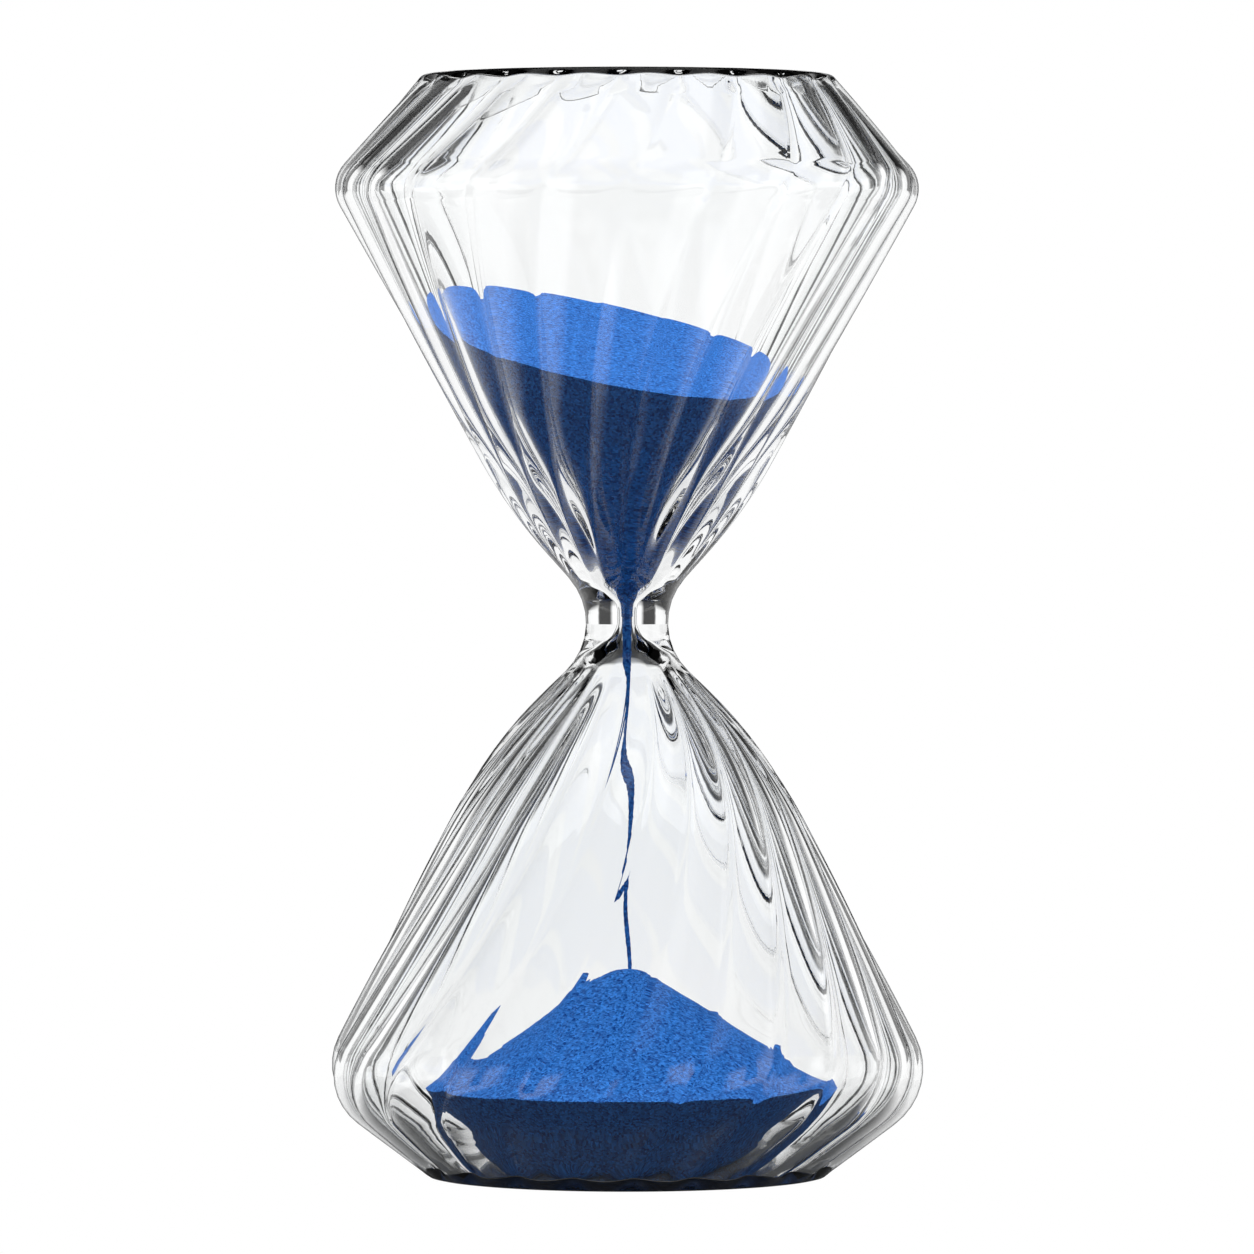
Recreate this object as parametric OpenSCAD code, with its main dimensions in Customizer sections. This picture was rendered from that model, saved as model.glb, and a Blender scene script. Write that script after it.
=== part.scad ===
// Frameless sand timer: two blown glass bulbs with spiral ribs, fused to a solid glass neck,
// with blue sand caught part way through its run.
// Millimetres, +Z up. The origin is the middle of the face that the timer stands on.

/* [Whole timer] */
// Height from the face it stands on to the face at the other end
timer_h = 155; // [135:1:190]
// Height of the narrowest place of the neck
waist_z = 77.4; // [70:0.2:84]

/* [Outline of the bulbs] */
// Radius at which the standing face and the lower bulb's chamfer would meet
base_face_r = 28.2; // [22:0.2:34]
// Radius at which the lower bulb's chamfer and flank would meet, before rounding
lower_corner_r = 44.5; // [36:0.5:54]
// Height of that corner
lower_corner_z = 12.4; // [10:0.2:20]
// Rounding of the lower bulb's widest place
lower_belly_fillet = 9.5; // [4:0.5:12]
// Radius at which the lower flank turns into the shoulder under the neck
shoulder_r = 19.7; // [16:0.1:24]
// How far that turn is below the waist
shoulder_drop = 16.8; // [13:0.2:22]
// Radius at which the flare over the neck turns into the upper bulb's cone
flare_r = 16.7; // [14:0.1:20]
// How far that turn is above the waist
flare_rise = 16.2; // [13:0.2:20]
// Radius at which the upper bulb's cone and chamfer would meet, before rounding
upper_corner_r = 42.3; // [35:0.5:51]
// Height of the upper bulb's chamfer
upper_chamfer_h = 15.3; // [12:0.2:19]
// Rounding of the upper bulb's widest place
upper_belly_fillet = 5.2; // [2:0.2:8]
// Radius at which the upper chamfer and the top face would meet
top_face_r = 28.9; // [23:0.2:34]
// Rounding of the edge round each end face
face_edge_fillet = 1.3; // [0.6:0.1:2]

/* [Ribs] */
// Number of ribs round each bulb
ribs = 22; // [16:1:26]
// Depth of the groove between two ribs
rib_depth = 1.1; // [0.4:0.1:1.6]
// Turn of the lower bulb's ribs, degrees for each millimetre of height
lower_twist = 0.72; // [0:0.02:1]
// Turn of the ribs up the upper bulb's cone, degrees for each millimetre of height
upper_twist = 0.42; // [0:0.02:1]
// The same up the upper bulb's chamfer
chamfer_twist = 0.95; // [0:0.05:1.5]
// Distance out from the neck over which the ribs grow to their full depth
rib_run_in = 14; // [8:1:24]
// Height from an end face over which they do the same
rib_edge_run = 1.2; // [0.8:0.1:2.4]

/* [Glass] */
// Thinnest glass of the bulbs, at the bottom of a groove
wall = 1.2; // [0.8:0.1:2.5]
// Glass round the flare over the neck
flare_wall = 3.8; // [2.5:0.1:4.2]
// Glass round the shoulder under the neck
shoulder_wall = 1.8; // [1.6:0.1:3]
// Glass under the sand at the lower end
base_wall = 2; // [1.6:0.1:4]
// Radius of the flat floor of the bowl that the sand lies in
bowl_foot_r = 21.2; // [17:0.2:23]
// Steepness of the bowl's side, in degrees from flat
bowl_steepness = 52; // [45:0.5:60]
// Glass of the top face
top_wall = 1.2; // [1:0.1:4]

/* [Neck] */
// Radius of the hole that the sand runs through
bore_r = 0.95; // [0.6:0.05:1.5]
// Rounding where the hole opens into the bulbs
throat_fillet = 5; // [3:0.5:5.5]
// How far the neck ring reaches above the waist
ring_rise = 6; // [5.5:0.1:8]
// How far it reaches below the waist
ring_drop = 4; // [3.5:0.1:8]
// Outline radius to which the two bulbs would narrow with no rounding at the waist
waist_corner_r = 2.1; // [1:0.1:3]
// Rounding of the waist
waist_fillet = 9.4; // [7:0.2:11]

/* [Filling hole] */
// Radius of the hole in the lower end, where the sand went in
fill_hole_r = 3; // [2:0.25:5]
// Radius of the shallow dish round the hole
dish_r = 9; // [7:0.5:14]
// Depth of that dish
dish_depth = 0.8; // [0.4:0.1:1.5]

/* [Sand] */
// Height of the sand over the waist, on the axis
sand_rise = 38.8; // [20:0.2:50]
// Slope of the upper sand's surface
sand_tilt = 16.4; // [0:0.2:30]
// Direction in which that surface falls, degrees from +X
sand_fall = -47.6; // [-180:0.4:180]
// Height at which the heap's flanks would meet
heap_z = 30; // [20:0.5:38]
// Slope of the heap's flanks
heap_slope = 31; // [26:0.5:35]
// Rounding of the heap's tip
heap_tip_r = 5.4; // [2:0.2:8]
// Radius of the stream as it leaves the neck
stream_r = 0.63; // [0.3:0.01:0.8]
// Radius of the stream as it lands
stream_end_r = 0.25; // [0.15:0.01:0.4]
// Room between the grains and the glass
sand_gap = 0.15; // [0.05:0.05:0.3]

/* [Hidden] */
ARC_STEPS = 5;          // pieces of each rounded corner
RING_STEP = 5.5;        // longest stretch between two rings of a ribbed wall
RIB_STEPS = 4;          // points of each rib round a ring
ROUND = 96;             // segments of what is turned
FAR = 200;              // larger than the timer
GROOVE_FILLET = 70;     // the long bends of the shoulder and of the flare
CAVITY_FILLET = 3;      // rounding of the cavities' corners
BELLY_FILLET = 8;       // rounding of the lower cavity's widest place
RIB_PHASE = 7.3;        // turn of the ribs at the waist
upper_join = waist_z + ring_rise;
lower_join = waist_z - ring_drop;

// The timer's outline over its ribs, as corners: radius, height, rounding
waist = [waist_corner_r, waist_z];
base_edge = [base_face_r, 0];
lower_corner = [lower_corner_r, lower_corner_z];
shoulder = [shoulder_r, waist_z - shoulder_drop];
flare = [flare_r, waist_z + flare_rise];
upper_corner = [upper_corner_r, timer_h - upper_chamfer_h];
top_edge = [top_face_r, timer_h];
outline = rounded([
    [[0, 0], 0], [base_edge, face_edge_fillet], [lower_corner, lower_belly_fillet],
    [shoulder, GROOVE_FILLET], [waist, waist_fillet], [flare, GROOVE_FILLET],
    [upper_corner, upper_belly_fillet], [top_edge, face_edge_fillet], [[0, timer_h], 0]]);

neck_r = radius_at(outline, upper_join);

// The cavities follow the outline's lines, moved in by the glass
rib_wall = wall + rib_depth;
bowl_foot = [bowl_foot_r, base_wall];
bowl_side = [bowl_foot, bowl_foot + [cos(bowl_steepness), sin(bowl_steepness)]];
lower_flank = moved(lower_corner, shoulder, rib_wall);
lower_throat = moved(shoulder, waist, shoulder_wall);
upper_throat = moved(waist, flare, flare_wall);
upper_cone = moved(flare, upper_corner, rib_wall);
upper_side = moved(upper_corner, top_edge, rib_wall);
roof_line = [[0, timer_h - top_wall], [FAR, timer_h - top_wall]];
lower_cavity = rounded([
    [[0, base_wall], 0], [bowl_foot, CAVITY_FILLET],
    [meet(bowl_side, lower_flank), BELLY_FILLET], [meet(lower_flank, lower_throat), GROOVE_FILLET],
    [meet(lower_throat, level(lower_join)), 0]]);
upper_cavity = rounded([
    [meet(upper_throat, level(upper_join)), 0], [meet(upper_throat, upper_cone), GROOVE_FILLET],
    [meet(upper_cone, upper_side), CAVITY_FILLET], [meet(upper_side, roof_line), CAVITY_FILLET],
    [[0, timer_h - top_wall], 0]]);
// The way through the neck ring, from its lower face to its upper one
bore_line = [[bore_r, 0], [bore_r, timer_h]];
bore_low = meet(bore_line, lower_throat);
bore_high = meet(bore_line, upper_throat);
passage = rounded([
    [last(lower_cavity), 0], [bore_low, throat_fillet], [bore_high, throat_fillet],
    [upper_cavity[0], 0]]);

function last(list) = list[len(list) - 1];
function unit(v) = v / norm(v);
function level(z) = [[0, z], [FAR, z]];
// The line from a to b, moved sideways, to the left
function moved(a, b, by) = let (u = unit(b - a), side = by * [-u[1], u[0]]) [a + side, b + side];
// Where two lines cross
function meet(l, m) =
    let (u = l[1] - l[0], v = m[1] - m[0])
    l[0] + u * cross(m[0] - l[0], v) / cross(u, v);
// Arc that rounds corner b between a and c
function corner_arc(a, b, c, fillet) =
    let (u = unit(a - b), v = unit(c - b), half = acos(u * v) / 2,
         centre = b + unit(u + v) * fillet / sin(half),
         from = b + u * fillet / tan(half) - centre,
         to = b + v * fillet / tan(half) - centre,
         swing = 180 - 2 * half)
    [for (i = [0 : ARC_STEPS]) let (t = i / ARC_STEPS)
        centre + (from * sin((1 - t) * swing) + to * sin(t * swing)) / sin(swing)];
// Points along [corner, rounding] pairs
function rounded(corners) = [
    for (i = [0 : len(corners) - 1])
        each corners[i][1] > 0
            ? corner_arc(corners[i - 1][0], corners[i][0], corners[i + 1][0], corners[i][1])
            : [corners[i][0]]];
// Radius of a path at a height
function radius_at(path, z) =
    let (hits = [for (i = [1 : len(path) - 1])
        let (a = path[i - 1], b = path[i])
        if (min(a[1], b[1]) <= z && z <= max(a[1], b[1]) && a[1] != b[1])
            a[0] + (b[0] - a[0]) * (z - a[1]) / (b[1] - a[1])])
    hits[0];
// The part of an upward path between two heights
function between(path, z0, z1) = concat(
    [[radius_at(path, z0), z0]],
    [for (p = path) if (p[1] > z0 && p[1] < z1) p],
    [[radius_at(path, z1), z1]]);
// A path with its long stretches cut into short ones
function divided(path, step) = concat([path[0]], [
    for (i = [1 : len(path) - 1])
        let (a = path[i - 1], b = path[i], n = ceil(norm(b - a) / step))
        for (k = [1 : n]) a + (b - a) * k / n]);

// Angle of the crest of the first rib at a height
function crest_angle(z) =
    RIB_PHASE + (z < waist_z ? lower_twist : upper_twist) * (z - waist_z)
    + (chamfer_twist - upper_twist) * max(0, z - upper_corner[1]);
// Depth of the grooves at a point of the outline, where face_z is the height of the nearer end face
function groove(p, face_z) =
    rib_depth * min(1, max(0, p[0] - neck_r) / rib_run_in, abs(p[1] - face_z) / rib_edge_run);
// Outward direction of a path at its point i
function outward(path, i) =
    let (d = unit(path[min(i + 1, len(path) - 1)] - path[max(i - 1, 0)])) [d[1], -d[0]];

// Solid with a ribbed outside, through the rings of a path from its lower face to its upper one
module ribbed_solid(path, face_z) {
    n = ribs * RIB_STEPS;
    points = [
        for (k = [0 : len(path) - 1])
            for (i = [0 : n - 1])
                let (depth = groove(path[k], face_z) * (1 - abs(cos(ribs * 180 * i / n))),
                     p = path[k] - depth * outward(path, k),
                     angle = crest_angle(path[k][1]) + 360 * i / n)
                [p[0] * cos(angle), p[0] * sin(angle), p[1]]];
    top = (len(path) - 1) * n;
    faces = concat(
        [[for (i = [0 : n - 1]) i]],
        [[for (i = [0 : n - 1]) top + n - 1 - i]],
        [for (k = [0 : len(path) - 2])
            for (i = [0 : n - 1])
                let (a = k * n + i, b = k * n + (i + 1) % n)
                each [[a, a + n, b], [b, a + n, b + n]]]);
    polyhedron(points, faces);
}

module turned(points) {
    rotate_extrude($fn = ROUND) polygon(points);
}

// Cavity of a bulb, run on past the joint with the neck ring
module lower_hollow() {
    turned(concat(lower_cavity, [[last(lower_cavity)[0], FAR / 2], [0, FAR / 2]]));
}

module upper_hollow() {
    turned(concat([[0, waist_z], [upper_cavity[0][0], waist_z]], upper_cavity));
}

module upper_bulb() {
    rings = concat([[neck_r, upper_join]],
                   [for (p = outline) if (p[1] > upper_join && p[0] > 0) p]);
    color([0.88, 0.94, 0.96, 0.4])
        difference() {
            ribbed_solid(divided(rings, RING_STEP), timer_h);
            upper_hollow();
        }
}

module lower_bulb() {
    rings = concat([for (p = outline) if (p[1] < lower_join && p[0] > 0) p],
                   [[radius_at(outline, lower_join), lower_join]]);
    color([0.88, 0.94, 0.96, 0.4])
        difference() {
            ribbed_solid(divided(rings, RING_STEP), 0);
            lower_hollow();
            fill_dish();
            translate([0, 0, -1]) cylinder(h = base_wall + 2, r = fill_hole_r, $fn = ROUND);
        }
}

// Shallow cone round the filling hole, which keeps the seal off the table
module fill_dish() {
    translate([0, 0, -dish_depth])
        cylinder(h = 2 * dish_depth, r1 = 2 * dish_r - fill_hole_r, r2 = fill_hole_r, $fn = ROUND);
}

module neck_ring() {
    outside = between(outline, lower_join, upper_join);
    color([0.88, 0.94, 0.96, 0.4])
        turned(concat(passage, [for (i = [1 : len(outside)]) outside[len(outside) - i]]));
}

module fill_seal() {
    color([0.84, 0.91, 0.94, 0.6])
        turned([[0, dish_depth], [fill_hole_r, dish_depth], [fill_hole_r, base_wall], [0, base_wall]]);
}

// What the sand fills of the passage and the upper cavity
stream_top = (bore_low[1] + bore_high[1]) / 2;
sand_side = [for (p = concat(between(passage, stream_top, upper_join), upper_cavity))
    [max(p[0] - sand_gap, 0), p[1]]];

module upper_sand() {
    color("royalblue")
        difference() {
            turned(concat([[0, stream_top]], sand_side));
            translate([0, 0, waist_z + sand_rise])
                rotate([0, sand_tilt, sand_fall])
                    translate([-FAR / 2, -FAR / 2, 0]) cube([FAR, FAR, FAR]);
        }
}

heap_tip_z = heap_z - heap_tip_r * (1 / cos(heap_slope) - 1);

module falling_stream() {
    color("royalblue")
        turned([[0, heap_tip_z], [stream_end_r, heap_tip_z], [stream_r, lower_join],
                [stream_r, stream_top], [0, stream_top]]);
}

module sand_heap() {
    floor_z = base_wall + sand_gap;
    tip = [for (i = [0 : ARC_STEPS])
        let (t = heap_slope * i / ARC_STEPS)
        [heap_tip_r * sin(t), heap_tip_z - heap_tip_r * (1 - cos(t))]];
    foot_r = lower_corner_r;
    color("royalblue")
        intersection() {
            turned(concat(tip, [[foot_r, heap_z - foot_r * tan(heap_slope)], [foot_r, floor_z],
                                [0, floor_z]]));
            turned([for (p = lower_cavity) [max(p[0] - sand_gap, 0), p[1]]]);
        }
}

upper_bulb();
lower_bulb();
neck_ring();
fill_seal();
upper_sand();
falling_stream();
sand_heap();
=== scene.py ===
import math

import bmesh
import bpy
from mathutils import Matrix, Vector, noise

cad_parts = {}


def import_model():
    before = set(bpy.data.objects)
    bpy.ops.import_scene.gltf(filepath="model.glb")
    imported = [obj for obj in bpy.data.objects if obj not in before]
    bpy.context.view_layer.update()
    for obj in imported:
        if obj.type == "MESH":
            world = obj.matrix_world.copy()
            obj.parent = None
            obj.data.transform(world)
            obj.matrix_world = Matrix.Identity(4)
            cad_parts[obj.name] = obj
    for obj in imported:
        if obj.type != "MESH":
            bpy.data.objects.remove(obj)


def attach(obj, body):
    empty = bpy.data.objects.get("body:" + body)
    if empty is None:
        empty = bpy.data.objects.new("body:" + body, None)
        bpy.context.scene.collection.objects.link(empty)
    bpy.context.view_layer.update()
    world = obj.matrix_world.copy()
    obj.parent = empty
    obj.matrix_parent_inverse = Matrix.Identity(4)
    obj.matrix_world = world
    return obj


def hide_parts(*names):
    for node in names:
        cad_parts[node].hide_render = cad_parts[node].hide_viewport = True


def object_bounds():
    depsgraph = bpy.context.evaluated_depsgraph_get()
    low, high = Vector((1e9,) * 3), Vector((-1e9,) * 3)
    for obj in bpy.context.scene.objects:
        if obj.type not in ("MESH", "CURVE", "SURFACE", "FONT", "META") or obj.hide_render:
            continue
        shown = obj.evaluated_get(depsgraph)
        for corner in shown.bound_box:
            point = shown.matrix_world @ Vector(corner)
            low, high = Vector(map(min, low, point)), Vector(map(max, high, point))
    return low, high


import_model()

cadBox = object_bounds()
mm = 0.001
timerHeight = cadBox[1][2] / mm


# Corners of the glass over its ribs, from the foot up: radius, height, rounding.
# In millimetres, the same sizes as the solid model's; its box gives the height.
outlineSpec = {
    "waist": 77.4,
    "base": (28.2, 0.0, 1.3),
    "lowerBelly": (44.5, 12.4, 9.5),
    "shoulder": (19.7, 60.6, 70.0),
    "neck": (2.1, 77.4, 9.4),
    "flare": (16.7, 93.6, 70.0),
    "upperBelly": (42.3, timerHeight - 15.3, 5.2),
    "top": (28.9, timerHeight, 1.3),
}
ribSpec = {
    "count": 22,
    "depth": 1.1,
    "phase": 7.3,          # degrees at the waist
    "lowerTwist": 0.72,    # degrees for each millimetre of height
    "upperTwist": 0.42,
    "chamferTwist": 0.95,
    "runIn": 14.0,         # from the neck out to full depth
    "edgeRun": 1.2,        # from an end face up to full depth
    "cusp": 0.16,          # rounding of the grooves' bottoms, 0 is a sharp V
    "innerShare": 0.96,    # how much of the groove shows on the inside
    "steps": 16,           # points of each rib round the glass
}
glassSpec = {
    "ribWall": 1.3,
    "flareWall": 3.8,
    "shoulderWall": 1.8,
    "baseWall": 2.0,
    "topWall": 1.2,
    "bore": 0.95,
    "throatFillet": 5.0,
    "ringRise": 6.0,       # the neck ring's reach above and below the waist
    "ringDrop": 4.0,
    "bellyFillet": 8.2,    # roundings of the cavities
    "kneeFillet": 3.9,
    "bendFillet": 70,
    "floorFillet": 1,
    "roofFillet": 0.7,
    "fillHole": 3.0,
    "dish": 9.0,
    "dishDepth": 0.8,
    "ringStep": 1.6,       # longest stretch between two rings of points
    "ripple": 0.008,       # unevenness of hand-worked glass
    "trim": 0.9972,        # keeps the finer mesh inside the solid model's box
}


def unit(v):
    return v / v.length


def point(r, z):
    return Vector((r, z))


def movedLine(a, b, by):
    # the line from a to b, moved to its left
    along = unit(b - a)
    side = by * Vector((-along.y, along.x))
    return a + side, b + side


def meet(one, two):
    u, v = one[1] - one[0], two[1] - two[0]
    return one[0] + u * ((two[0] - one[0]).cross(v) / u.cross(v))


def level(z):
    return point(0, z), point(100, z)


def rounded(corners, steps=8):
    # corners are (place, rounding); the rounding becomes an arc
    path = []
    for i, (b, fillet) in enumerate(corners):
        if not fillet:
            path.append(b)
            continue
        u, v = unit(corners[i - 1][0] - b), unit(corners[i + 1][0] - b)
        half = math.acos(max(-1, min(1, u.dot(v)))) / 2
        centre = b + unit(u + v) * fillet / math.sin(half)
        start = b + u * fillet / math.tan(half) - centre
        end = b + v * fillet / math.tan(half) - centre
        swing = math.pi - 2 * half
        for k in range(steps + 1):
            t = k / steps
            path.append(centre + (start * math.sin((1 - t) * swing) + end * math.sin(t * swing))
                        / math.sin(swing))
    return path


def divided(path, step):
    # long stretches cut into short ones
    cut = [path[0]]
    for a, b in zip(path, path[1:]):
        n = max(1, math.ceil((b - a).length / step))
        cut += [a + (b - a) * k / n for k in range(1, n + 1)]
    return cut


def radiusAt(path, z):
    for a, b in zip(path, path[1:]):
        if min(a.y, b.y) <= z <= max(a.y, b.y) and a.y != b.y:
            return a.x + (b.x - a.x) * (z - a.y) / (b.y - a.y)


def between(path, z0, z1):
    inside = [p for p in path if z0 < p.y < z1]
    return [point(radiusAt(path, z0), z0)] + inside + [point(radiusAt(path, z1), z1)]


spec = outlineSpec
corner = {k: point(*spec[k][:2]) for k in spec if isinstance(spec[k], tuple)}
outline = rounded([(point(0, 0), 0)] + [(corner[k], spec[k][2]) for k in corner]
                  + [(point(0, timerHeight), 0)])
upperJoin = spec["waist"] + glassSpec["ringRise"]
lowerJoin = spec["waist"] - glassSpec["ringDrop"]
neckRadius = radiusAt(outline, upperJoin)
neckRadiusLow = radiusAt(outline, lowerJoin)


lowerThroat = movedLine(corner["shoulder"], corner["neck"], glassSpec["shoulderWall"])
upperThroat = movedLine(corner["neck"], corner["flare"], glassSpec["flareWall"])
boreLine = point(glassSpec["bore"], 0), point(glassSpec["bore"], 100)


def lowerCavity():
    g = glassSpec
    side = movedLine(corner["base"], corner["lowerBelly"], g["ribWall"])
    flank = movedLine(corner["lowerBelly"], corner["shoulder"], g["ribWall"])
    floor = level(g["baseWall"])
    return rounded([(point(0, g["baseWall"]), 0), (meet(floor, side), g["floorFillet"]),
                    (meet(side, flank), g["bellyFillet"]),
                    (meet(flank, lowerThroat), g["bendFillet"]),
                    (meet(lowerThroat, level(lowerJoin)), 0)])


def upperCavity():
    g = glassSpec
    cone = movedLine(corner["flare"], corner["upperBelly"], g["ribWall"])
    side = movedLine(corner["upperBelly"], corner["top"], g["ribWall"])
    roof = level(timerHeight - g["topWall"])
    return rounded([(meet(upperThroat, level(upperJoin)), 0),
                    (meet(upperThroat, cone), g["bendFillet"]),
                    (meet(cone, side), g["kneeFillet"]), (meet(side, roof), g["roofFillet"]),
                    (point(0, timerHeight - g["topWall"]), 0)])


def passage(lower, upper):
    fillet = glassSpec["throatFillet"]
    return rounded([(lower[-1], 0), (meet(boreLine, lowerThroat), fillet),
                    (meet(boreLine, upperThroat), fillet), (upper[0], 0)])


lowerHollow = lowerCavity()
upperHollow = upperCavity()
neckHollow = passage(lowerHollow, upperHollow)
streamTop = (meet(boreLine, lowerThroat).y + meet(boreLine, upperThroat).y) / 2
print("outline ready")


def crestAngle(z):
    s = ribSpec
    twist = s["lowerTwist"] if z < spec["waist"] else s["upperTwist"]
    extra = (s["chamferTwist"] - s["upperTwist"]) * max(0, z - corner["upperBelly"].y)
    return math.radians(s["phase"] + twist * (z - spec["waist"]) + extra)


def grooveDepth(r, z, faceZ):
    s = ribSpec
    return s["depth"] * min(1, max(0, r - neckRadius) / s["runIn"], abs(z - faceZ) / s["edgeRun"])


def spun(path, steps):
    # a bmesh turned from a path; ends that lie on the axis become poles
    bm = bmesh.new()
    ring = bm.verts.layers.int.new("ring")
    verts = [bm.verts.new((p.x * mm, 0, p.y * mm)) for p in path]
    for i, v in enumerate(verts):
        v[ring] = i
    edges = [bm.edges.new(pair) for pair in zip(verts, verts[1:])]
    bmesh.ops.spin(bm, geom=verts + edges, cent=(0, 0, 0), axis=(0, 0, 1),
                   angle=2 * math.pi, steps=steps, use_merge=True)
    bmesh.ops.remove_doubles(bm, verts=bm.verts, dist=1e-7)
    return bm


sharpAngle = 40    # creases steeper than this stay crisp


def asPiece(bm, name, slots, node):
    bmesh.ops.recalc_face_normals(bm, faces=bm.faces)
    bm.edges.index_update()
    mesh = bpy.data.meshes.new(name)
    joints = [e.index for e in bm.edges if not e.smooth]
    bm.to_mesh(mesh)
    bm.free()
    mesh.shade_smooth()
    mesh.set_sharp_from_angle(angle=math.radians(sharpAngle))
    for i in joints:
        mesh.edges[i].use_edge_sharp = True
    piece = bpy.data.objects.new(name, mesh)
    bpy.context.scene.collection.objects.link(piece)
    for m in slots:
        mesh.materials.append(m)
    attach(piece, "root")
    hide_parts(node)
    return piece


def outward(path, i):
    along = unit(path[min(i + 1, len(path) - 1)] - path[max(i - 1, 0)])
    return Vector((along.y, -along.x))


def shapeGlass(bm, path, outer, inner, faceZ):
    # presses the spiral grooves into the glass and turns every ring with them; outer and inner
    # are the ranges of rings outside and in the cavity, which follows the outside
    s, g = ribSpec, glassSpec
    plate = g["topWall"] if faceZ else g["baseWall"]
    plan = []
    for i, p in enumerate(path):
        n, turn, depth = outward(path, i), crestAngle(p.y), 0
        if outer[0] <= i < outer[1]:
            depth = grooveDepth(p.x, p.y, faceZ)
        elif inner[0] <= i < inner[1]:
            n = -n
            over = p + n * g["ribWall"]
            turn = crestAngle(over.y)
            depth = grooveDepth(over.x, over.y, faceZ) * s["innerShare"]
            depth *= min(1, max(0, abs(p.y - faceZ) - plate) / s["edgeRun"])
        plan.append((turn, depth * n.x, depth * n.y))
    ring = bm.verts.layers.int["ring"]
    for v in bm.verts:
        r, z = math.hypot(v.co.x, v.co.y) / mm, v.co.z / mm
        if r < 1e-3:
            continue
        a = math.atan2(v.co.y, v.co.x)
        turn, pressR, pressZ = plan[v[ring]]
        if pressR or pressZ:
            wave = 1 - (math.hypot(math.cos(s["count"] * a / 2), s["cusp"])
                        / math.hypot(1, s["cusp"]))
            r, z = r - pressR * wave, z - pressZ * wave
        a += turn
        r *= g["trim"]
        v.co = (r * math.cos(a) * mm, r * math.sin(a) * mm, z * mm)


def ripple(bm, amount):
    # the slight unevenness of worked glass, kept off the flat ends and the joints
    s, h = glassSpec, timerHeight
    for v in bm.verts:
        z = v.co.z / mm
        r = math.hypot(v.co.x, v.co.y) / mm
        hold = min(1, max(0, r - 12) / 10, max(0, z - 1) / 4, max(0, h - 1 - z) / 4)
        if hold > 0:
            wave = noise.noise(v.co * 60) + 0.5 * noise.noise(v.co * 140)
            grow = 1 + hold * amount * wave / r
            v.co.x *= grow
            v.co.y *= grow


def markJoint(bm, z):
    # faces across a fused joint get the second material, which light passes straight
    for f in bm.faces:
        if all(abs(v.co.z / mm - z) < 1e-3 for v in f.verts):
            f.material_index = 1
    for e in bm.edges:
        if len({f.material_index for f in e.link_faces}) == 2:
            e.smooth = False


steps = ribSpec["count"] * ribSpec["steps"]
stepLength = glassSpec["ringStep"]


def upperBulb(glass, joint):
    # one line from the roof's middle down the cavity, across the joint and up the outside
    outer = divided([point(neckRadius, upperJoin)]
                    + [p for p in outline if p.y > upperJoin and p.x > 0], stepLength)
    top = divided([outer[-1], point(0, timerHeight)], 4)[1:]
    inner = divided(upperHollow, stepLength)
    path = inner[::-1] + outer + top
    n = len(inner)
    bm = spun(path, steps)
    shapeGlass(bm, path, (n, n + len(outer)), (0, n), timerHeight)
    ripple(bm, glassSpec["ripple"])
    markJoint(bm, upperJoin)
    return asPiece(bm, "upper_bulb_glass", [glass, joint], "upper_bulb")


def lowerBulb(glass, joint):
    # a closed line round the wall: filling hole, dished foot, outside, joint and cavity
    g = glassSpec
    outer = divided([p for p in outline if p.y < lowerJoin and p.x > 0]
                    + [point(neckRadiusLow, lowerJoin)], stepLength)
    foot = divided([point(g["fillHole"], g["dishDepth"]), point(g["dish"], 0), outer[0]], 4)
    inner = divided(lowerHollow[1:], stepLength)
    hole = divided([inner[0], point(g["fillHole"], g["baseWall"]), foot[0]], 4)[1:]
    path = foot[:-1] + outer + inner[::-1] + hole
    bm = spun(path, steps)
    n = len(foot) - 1
    m = n + len(outer)
    shapeGlass(bm, path, (n, m), (m, m + len(inner)), 0)
    ripple(bm, glassSpec["ripple"])
    markJoint(bm, lowerJoin)
    return asPiece(bm, "lower_bulb_glass", [glass, joint], "lower_bulb")


def neckRing(glass, joint):
    outer = divided(between(outline, lowerJoin, upperJoin), 0.5)
    inner = divided(neckHollow, 0.5)
    loop = outer + inner[::-1]
    loop.append(loop[0])
    bm = spun(loop, steps)
    shapeGlass(bm, loop, (0, 0), (0, 0), 0)
    markJoint(bm, lowerJoin)
    markJoint(bm, upperJoin)
    return asPiece(bm, "neck_ring_glass", [glass, joint], "neck_ring")


def fillSeal(glass):
    g = glassSpec
    r, low, high = g["fillHole"] - 0.02, g["dishDepth"], g["baseWall"]
    bm = spun([point(0, low), point(r, low), point(r, high), point(0, high)], 64)
    return asPiece(bm, "fill_seal_glass", [glass], "fill_seal")


sandSpec = {
    "rise": 38.8,      # height over the waist, on the axis
    "tilt": 16.4,
    "fall": -47.6,     # direction of the fall, from +X
    "heapHeight": 30.0,
    "heapSlope": 31.0,
    "heapTip": 5.4,
    "bowlFoot": 21.2,
    "bowlSteepness": 52.0,
    "stream": 0.63,
    "streamEnd": 0.25,
    "gap": 0.15,
    "bedding": 0.06,       # how far the lowest grains touch the glass floor
    "spokes": 240,
    "rings": 70,
    "bumps": 0.12,
}


def sandNoise(co, amount):
    grain = noise.noise(co * 900) * 0.5 + noise.noise(co * 2500) * 0.3
    drift = noise.noise(co * 90)
    return amount * (grain + drift) * mm


def wallAt(path, z):
    r = radiusAt(path, z) or 0
    inward = grooveDepth(r, z, timerHeight) * ribSpec["innerShare"] if path is not bowl else 0
    return max(0.05, r - inward - sandSpec["gap"])


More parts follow.
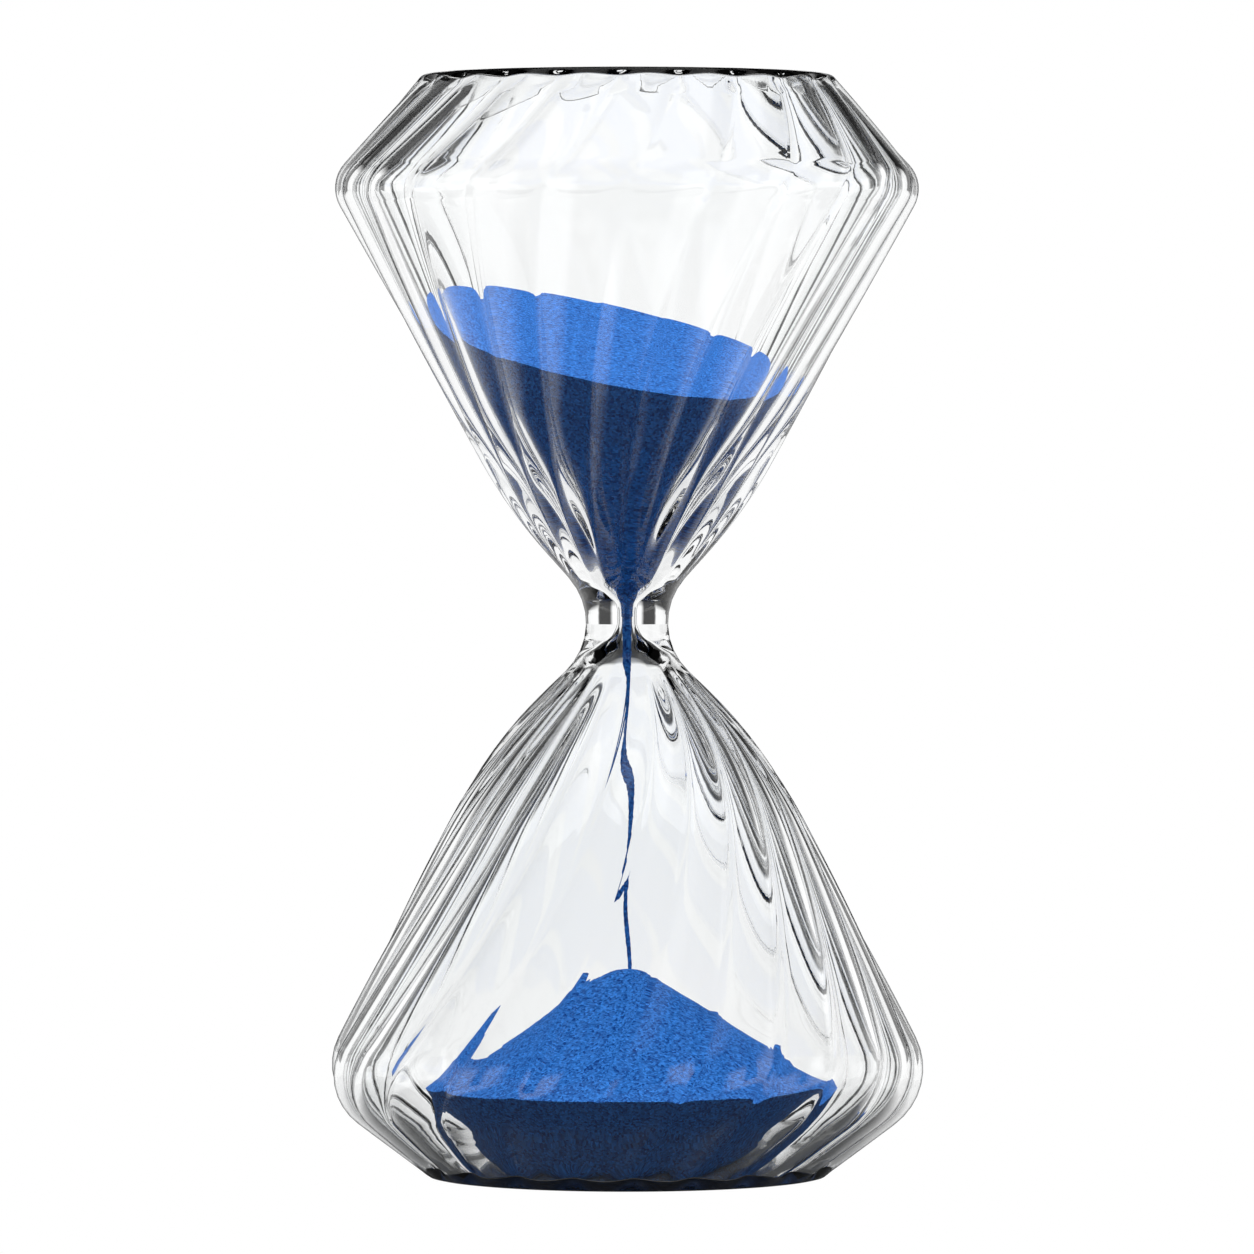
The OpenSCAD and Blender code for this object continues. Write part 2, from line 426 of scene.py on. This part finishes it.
def contactHeight(path, surface, a, low, high):
    # where the sand's surface meets the wall at angle a
    for _ in range(40):
        mid = (low + high) / 2
        if surface(wallAt(path, mid), a) > mid:
            low = mid
        else:
            high = mid
    return mid


def sandBody(path, surface, floorZ, reach, name, node, material):
    # unit profile, turned, then each spoke is laid along the wall and over the surface
    s = sandSpec
    rings = s["rings"]
    profile = [point(0, -1)] + [point(1, -1 + k / rings) for k in range(rings + 1)]
    profile += [point(1 - k / rings, k / rings) for k in range(1, rings + 1)]
    bm = bmesh.new()
    verts = [bm.verts.new((p.x, 0, p.y)) for p in profile]
    edges = [bm.edges.new(pair) for pair in zip(verts, verts[1:])]
    bmesh.ops.spin(bm, geom=verts + edges, cent=(0, 0, 0), axis=(0, 0, 1),
                   angle=2 * math.pi, steps=s["spokes"], use_merge=True)
    bmesh.ops.remove_doubles(bm, verts=bm.verts, dist=1e-7)
    contacts = {}
    for v in bm.verts:
        u, t = math.hypot(v.co.x, v.co.y), v.co.z
        a = math.atan2(v.co.y, v.co.x)
        key = round(a, 4)
        if key not in contacts:
            contacts[key] = contactHeight(path, surface, a, floorZ, reach)
        top = contacts[key]
        if t <= 0:
            z = floorZ + (t + 1) * (top - floorZ)
            r = u * wallAt(path, z)
        else:
            r = u * wallAt(path, top)
            z = surface(r, a)
        r *= glassSpec["trim"]
        v.co = Vector((r * math.cos(a), r * math.sin(a), z)) * mm
        if t >= 0:
            v.co.z += sandNoise(v.co, s["bumps"]) * min(1, (1 - u) * 8)
    return asPiece(bm, name, [material], node)


def upperSand(material):
    s = sandSpec
    slope, fall = math.tan(math.radians(s["tilt"])), math.radians(s["fall"])
    top = spec["waist"] + s["rise"]
    path = between(neckHollow, streamTop, upperJoin) + upperHollow[1:]
    return sandBody(path, lambda r, a: top - slope * r * math.cos(a - fall),
                    streamTop, corner["upperBelly"].y - 2,
                    "upper_sand_grains", "upper_sand", material)


def heapSurface(r, a):
    s = sandSpec
    slope = math.radians(s["heapSlope"])
    edge = s["heapTip"] * math.sin(slope)
    tip = s["heapHeight"] - s["heapTip"] * (1 / math.cos(slope) - 1)
    if r < edge:
        return tip - s["heapTip"] + math.sqrt(s["heapTip"] ** 2 - r * r)
    return s["heapHeight"] - r * math.tan(slope)


def sandBowl():
    s = sandSpec
    low = glassSpec["baseWall"] - s["bedding"]
    lean = math.tan(math.radians(90 - s["bowlSteepness"]))
    return rounded([(point(0, low), 0), (point(s["bowlFoot"], low), 3),
                    (point(s["bowlFoot"] + 40 * lean, low + 40), 0)])


bowl = sandBowl()


def sandHeap(material):
    return sandBody(bowl, heapSurface, bowl[0].y, sandSpec["heapHeight"], "sand_heap_grains",
                    "sand_heap", material)


def fallingStream(material):
    s = sandSpec
    tip = heapSurface(0, 0)
    top = streamTop
    n = 160
    path = []
    for k in range(n + 1):
        z = tip + (top - tip) * k / n
        drop = max(0, lowerJoin - z) / (lowerJoin - tip)
        # falling grains speed up, so the stream thins as the fourth root of the drop
        path.append(point(s["streamEnd"] + (s["stream"] - s["streamEnd"]) * (1 - drop ** 0.6), z))
    bm = spun([point(0, tip)] + path + [point(0, top)], 24)
    for v in bm.verts:
        if tip + 0.1 < v.co.z / mm < top - 0.1:
            rough = 1 + 0.22 * noise.noise(v.co * 2600)
            v.co.x *= rough
            v.co.y *= rough
    return asPiece(bm, "falling_stream_grains", [material], "falling_stream")


def newMaterial(name):
    m = bpy.data.materials.new(name)
    m.use_nodes = True
    nt = m.node_tree
    nt.nodes.clear()
    return m, nt


def link(nt, a, b):
    nt.links.new(a, b)


def maths(nt, operation, *values):
    # a Math node whose inputs are numbers or other nodes' outputs
    node = nt.nodes.new("ShaderNodeMath")
    node.operation = operation
    for socket, value in zip(node.inputs, values):
        if isinstance(value, (int, float)):
            socket.default_value = value
        else:
            link(nt, value, socket)
    return node.outputs[0]


def mapped(nt, value, fromMin, fromMax, toMin=0.0, toMax=1.0):
    node = nt.nodes.new("ShaderNodeMapRange")
    for name, number in (("From Min", fromMin), ("From Max", fromMax),
                         ("To Min", toMin), ("To Max", toMax)):
        node.inputs[name].default_value = number
    link(nt, value, node.inputs["Value"])
    return node.outputs[0]


def colourRamp(nt, value, stops):
    # stops are (place, red, green, blue)
    ramp = nt.nodes.new("ShaderNodeValToRGB")
    elements = ramp.color_ramp.elements
    while len(elements) < len(stops):
        elements.new(0.5)
    for element, (at, *colour) in zip(elements, stops):
        element.position = at
        element.color = (*colour, 1)
    link(nt, value, ramp.inputs["Fac"])
    return ramp.outputs["Color"]


def objectPlace(nt):
    return nt.nodes.new("ShaderNodeTexCoord").outputs["Object"]


def direction(nt, place):
    # from the middle towards a place, as separate X, Y and Z
    norm = nt.nodes.new("ShaderNodeVectorMath")
    norm.operation = "NORMALIZE"
    split = nt.nodes.new("ShaderNodeSeparateXYZ")
    link(nt, place, norm.inputs[0])
    link(nt, norm.outputs[0], split.inputs[0])
    return split.outputs


glassLook = {
    "ior": 1.47,
    "rimFrom": 0.78,       # lean of the surface at which its dark rim starts
    "rimTo": 0.93,
    "rimDark": 0.9,
    "drift": 28,           # scale of the slow changes of tint and of level
    "bump": 0.08,
    "bumpDepth": 0.0004,
    "tints": [(0.3, 0.972, 0.984, 0.986), (0.7, 0.992, 0.995, 0.995)],
}


def clearGlass():
    look = glassLook
    m, nt = newMaterial("clearGlass")
    out = nt.nodes.new("ShaderNodeOutputMaterial")
    glass = nt.nodes.new("ShaderNodeBsdfPrincipled")
    glass.inputs["Roughness"].default_value = 0.0
    glass.inputs["IOR"].default_value = look["ior"]
    glass.inputs["Transmission Weight"].default_value = 1.0
    # slow changes of tint and of level, as blown glass has
    drift = nt.nodes.new("ShaderNodeTexNoise")
    drift.inputs["Scale"].default_value = look["drift"]
    bump = nt.nodes.new("ShaderNodeBump")
    bump.inputs["Strength"].default_value = look["bump"]
    bump.inputs["Distance"].default_value = look["bumpDepth"]
    link(nt, objectPlace(nt), drift.inputs["Vector"])
    link(nt, colourRamp(nt, drift.outputs[0], look["tints"]), glass.inputs["Base Color"])
    link(nt, drift.outputs[0], bump.inputs["Height"])
    link(nt, bump.outputs["Normal"], glass.inputs["Normal"])
    # painted shade: the rim of every wall, seen along its surface, goes dark through a dark matte
    # shader mixed into the glass, but not that of the flat ends
    lean = nt.nodes.new("ShaderNodeLayerWeight")
    lean.inputs["Blend"].default_value = 0.5
    surface = nt.nodes.new("ShaderNodeNewGeometry")
    normal = nt.nodes.new("ShaderNodeSeparateXYZ")
    link(nt, surface.outputs["True Normal"], normal.inputs[0])
    rim = mapped(nt, lean.outputs["Facing"], look["rimFrom"], look["rimTo"], 0, look["rimDark"])
    front = maths(nt, "MULTIPLY_ADD", surface.outputs["Backfacing"], -1, 1)
    wall = mapped(nt, maths(nt, "ABSOLUTE", normal.outputs["Z"]), 0.8, 0.95, 1, 0)
    edge = maths(nt, "MULTIPLY", maths(nt, "MULTIPLY", rim, front), wall)
    # the dark matte shader is the painted shade on the rims
    shade = nt.nodes.new("ShaderNodeBsdfDiffuse")
    shade.inputs["Color"].default_value = (0.02, 0.022, 0.024, 1)
    rimmed = nt.nodes.new("ShaderNodeMixShader")
    link(nt, edge, rimmed.inputs[0])
    link(nt, glass.outputs[0], rimmed.inputs[1])
    link(nt, shade.outputs[0], rimmed.inputs[2])
    # light reaches the sand straight through the glass
    through = nt.nodes.new("ShaderNodeBsdfTransparent")
    through.inputs["Color"].default_value = (0.97, 0.98, 0.98, 1)
    path = nt.nodes.new("ShaderNodeLightPath")
    mix = nt.nodes.new("ShaderNodeMixShader")
    link(nt, maths(nt, "MAXIMUM", path.outputs["Is Shadow Ray"], path.outputs["Is Diffuse Ray"]),
         mix.inputs[0])
    link(nt, rimmed.outputs[0], mix.inputs[1])
    link(nt, through.outputs[0], mix.inputs[2])
    link(nt, mix.outputs[0], out.inputs["Surface"])
    return m


def fusedJoint():
    m, nt = newMaterial("fusedJoint")
    out = nt.nodes.new("ShaderNodeOutputMaterial")
    through = nt.nodes.new("ShaderNodeBsdfTransparent")
    link(nt, through.outputs[0], out.inputs["Surface"])
    return m


sandLook = {
    "grain": 3300,         # scale at which one cell is a grain of about 0.3 mm
    "bump": 0.6,
    "bumpDepth": 0.0002,
    "roughness": 0.6,
    "shine": 0.05,
    "dyes": [(0.1, 0.003, 0.045, 0.24), (0.9, 0.045, 0.25, 0.8)],
}


def blueSand():
    look = sandLook
    m, nt = newMaterial("blueSand")
    out = nt.nodes.new("ShaderNodeOutputMaterial")
    skin = nt.nodes.new("ShaderNodeBsdfPrincipled")
    skin.inputs["Roughness"].default_value = look["roughness"]
    skin.inputs["Specular IOR Level"].default_value = look["shine"]
    cells = nt.nodes.new("ShaderNodeTexVoronoi")
    cells.inputs["Scale"].default_value = look["grain"]
    bump = nt.nodes.new("ShaderNodeBump")
    bump.inputs["Strength"].default_value = look["bump"]
    bump.inputs["Distance"].default_value = look["bumpDepth"]
    link(nt, objectPlace(nt), cells.inputs["Vector"])
    link(nt, colourRamp(nt, cells.outputs["Color"], look["dyes"]), skin.inputs["Base Color"])
    link(nt, cells.outputs["Distance"], bump.inputs["Height"])
    link(nt, bump.outputs["Normal"], skin.inputs["Normal"])
    link(nt, skin.outputs[0], out.inputs["Surface"])
    return m


glass, joint, sand = clearGlass(), fusedJoint(), blueSand()
upperBulb(glass, joint)
lowerBulb(glass, joint)
neckRing(glass, joint)
fillSeal(glass)
print("glass ready")
upperSand(sand)
sandHeap(sand)
fallingStream(sand)
print("sand ready")


studioSpec = {
    "distance": 1.25,      # camera to the timer's axis
    "eye": 0.105,          # height of the camera
    "aim": 0.0773,         # height that it looks at
    "view": 8.08,          # degrees across the picture
    "topLight": 22.0,
    "lampSize": 1.6,
    "lampPlace": (0, -0.2, 1.4),
    "fill": 0.55,          # light on the grains from all round
    "floorGlow": 1.0,
    "backdrop": 1.08,
    "panels": 8,           # white panels in the ring round the object
    "frontDimming": 0.04,    # how bright the set is on its front side
    "dimmingEdge": (-0.9, -0.75),
    # the patch is painted shade on the paper close in front of the object, seen only through the
    # glass and in reflections
    "patchEdge": (0.10, 0.14),    # radius to which the floor in front is dark
    "patchLine": (-0.01, 0.03),   # where the patch ends under the object
    "patchShade": (0.04, 0.9),    # how bright the floor is before and behind that line
    "tentRadius": 4,
    "floorReach": 6,
}


def camera():
    s = studioSpec
    cam = bpy.data.cameras.new("camera")
    cam.angle = math.radians(s["view"])
    cam.clip_start = 0.01
    cam.clip_end = 50
    o = bpy.data.objects.new("camera", cam)
    bpy.context.scene.collection.objects.link(o)
    o.location = (0, -s["distance"], s["eye"])
    aim = Vector((0, 0, s["aim"])) - o.location
    o.rotation_mode = "QUATERNION"
    o.rotation_quaternion = aim.to_track_quat("-Z", "Y")
    bpy.context.scene.camera = o
    return o


def floor():
    bm = bmesh.new()
    bmesh.ops.create_grid(bm, x_segments=1, y_segments=1, size=studioSpec["floorReach"])
    mesh = bpy.data.meshes.new("floor")
    bm.to_mesh(mesh)
    bm.free()
    o = bpy.data.objects.new("floor", mesh)
    bpy.context.scene.collection.objects.link(o)
    o.location.z = -0.0001
    m, nt = newMaterial("floorPaper")
    out = nt.nodes.new("ShaderNodeOutputMaterial")
    glow = nt.nodes.new("ShaderNodeEmission")
    glow.inputs["Strength"].default_value = studioSpec["floorGlow"]
    dark = nt.nodes.new("ShaderNodeBsdfDiffuse")
    dark.inputs["Color"].default_value = (0.05, 0.05, 0.05, 1)
    # painted shade: to rays other than the camera's, the paper is bright behind the object and
    # further off, and dark close in front of it
    place = objectPlace(nt)
    reach = nt.nodes.new("ShaderNodeVectorMath")
    reach.operation = "LENGTH"
    along = nt.nodes.new("ShaderNodeSeparateXYZ")
    link(nt, place, reach.inputs[0])
    link(nt, place, along.inputs[0])
    far = mapped(nt, reach.outputs["Value"], *studioSpec["patchEdge"])
    behind = mapped(nt, along.outputs["Y"], *studioSpec["patchLine"], *studioSpec["patchShade"])
    # the paper's painted shade also dims it towards the -Y side
    dim = maths(nt, "MULTIPLY", far, frontDimming(nt, direction(nt, place)["Y"]))
    path = nt.nodes.new("ShaderNodeLightPath")
    seen = maths(nt, "MAXIMUM", path.outputs["Is Camera Ray"], maths(nt, "MAXIMUM", dim, behind))
    # the paper's glow doesn't light the grains
    lit = nt.nodes.new("ShaderNodeMath")
    lit.operation = "SUBTRACT"
    lit.use_clamp = True
    link(nt, seen, lit.inputs[0])
    link(nt, path.outputs["Is Diffuse Ray"], lit.inputs[1])
    mix = nt.nodes.new("ShaderNodeMixShader")
    link(nt, lit.outputs[0], mix.inputs[0])
    link(nt, dark.outputs[0], mix.inputs[1])
    link(nt, glow.outputs[0], mix.inputs[2])
    link(nt, mix.outputs[0], out.inputs["Surface"])
    mesh.materials.append(m)


def topLight():
    s = studioSpec
    lamp = bpy.data.lights.new("topLight", "AREA")
    lamp.shape = "DISK"
    lamp.size = s["lampSize"]
    lamp.energy = s["topLight"]
    o = bpy.data.objects.new("topLight", lamp)
    bpy.context.scene.collection.objects.link(o)
    o.location = s["lampPlace"]
    o.visible_transmission = False
    o.visible_glossy = False
    o.visible_camera = False


def surround():
    # a round tent that stands still: eight white panels with dark flags between them and a
    # pale ceiling, so that clear glass gets dark lines where it bends the light
    bm = bmesh.new()
    bmesh.ops.create_uvsphere(bm, u_segments=64, v_segments=32,
                              radius=studioSpec["tentRadius"])
    mesh = bpy.data.meshes.new("tent")
    bm.to_mesh(mesh)
    bm.free()
    mesh.shade_smooth()
    o = bpy.data.objects.new("tent", mesh)
    bpy.context.scene.collection.objects.link(o)
    o.visible_camera = False
    o.visible_diffuse = False
    o.visible_shadow = False
    m, nt = newMaterial("tentCloth")
    out = nt.nodes.new("ShaderNodeOutputMaterial")
    glow = nt.nodes.new("ShaderNodeEmission")
    way = direction(nt, objectPlace(nt))
    turn = maths(nt, "MULTIPLY", maths(nt, "ARCTAN2", way["Y"], way["X"]), studioSpec["panels"])
    panel = greyRamp(nt, maths(nt, "COSINE", turn), [(0, 0.04), (0.2, 0.04), (0.4, 1), (1, 1)])
    band = greyRamp(nt, way["Z"], [(0, 1), (0.66, 1), (0.74, 0.05), (1, 0.05)])
    ceiling = greyRamp(nt, way["Z"], [(0, 0), (0.91, 0), (0.95, 0.7), (1, 0.7)])
    total = maths(nt, "MAXIMUM", maths(nt, "MULTIPLY", panel, band), ceiling)
    total = maths(nt, "MULTIPLY", total, frontDimming(nt, way["Y"]))
    link(nt, maths(nt, "MULTIPLY", total, studioSpec["backdrop"]), glow.inputs["Strength"])
    link(nt, glow.outputs[0], out.inputs["Surface"])
    mesh.materials.append(m)


def frontDimming(nt, y):
    # how bright the set is in this direction: dimmer to the -Y side, where a dark cloth hangs on
    # the tent and where the paper has painted shade
    return mapped(nt, y, *studioSpec["dimmingEdge"], studioSpec["frontDimming"], 1)


def greyRamp(nt, value, stops):
    # brightness by a value that runs from -1 to 1
    return colourRamp(nt, mapped(nt, value, -1, 1), [(at, v, v, v) for at, v in stops])


def world():
    w = bpy.data.worlds.new("studio")
    w.use_nodes = True
    nt = w.node_tree
    nt.nodes.clear()
    out = nt.nodes.new("ShaderNodeOutputWorld")
    back = nt.nodes.new("ShaderNodeBackground")
    path = nt.nodes.new("ShaderNodeLightPath")
    mix = nt.nodes.new("ShaderNodeMapRange")
    back.inputs["Color"].default_value = (1, 1, 1, 1)
    mix.inputs["To Min"].default_value = 1.0
    mix.inputs["To Max"].default_value = studioSpec["fill"]
    link(nt, path.outputs["Is Diffuse Ray"], mix.inputs["Value"])
    link(nt, mix.outputs[0], back.inputs["Strength"])
    link(nt, back.outputs[0], out.inputs["Surface"])
    bpy.context.scene.world = w
    w.cycles.sampling_method = "NONE"


camera()
floor()
topLight()
surround()
world()
scene = bpy.context.scene
scene.view_settings.view_transform = "Standard"
scene.cycles.max_bounces = 24
scene.cycles.transmission_bounces = 24
scene.cycles.transparent_max_bounces = 24
scene.cycles.use_denoising = True
print("studio ready")
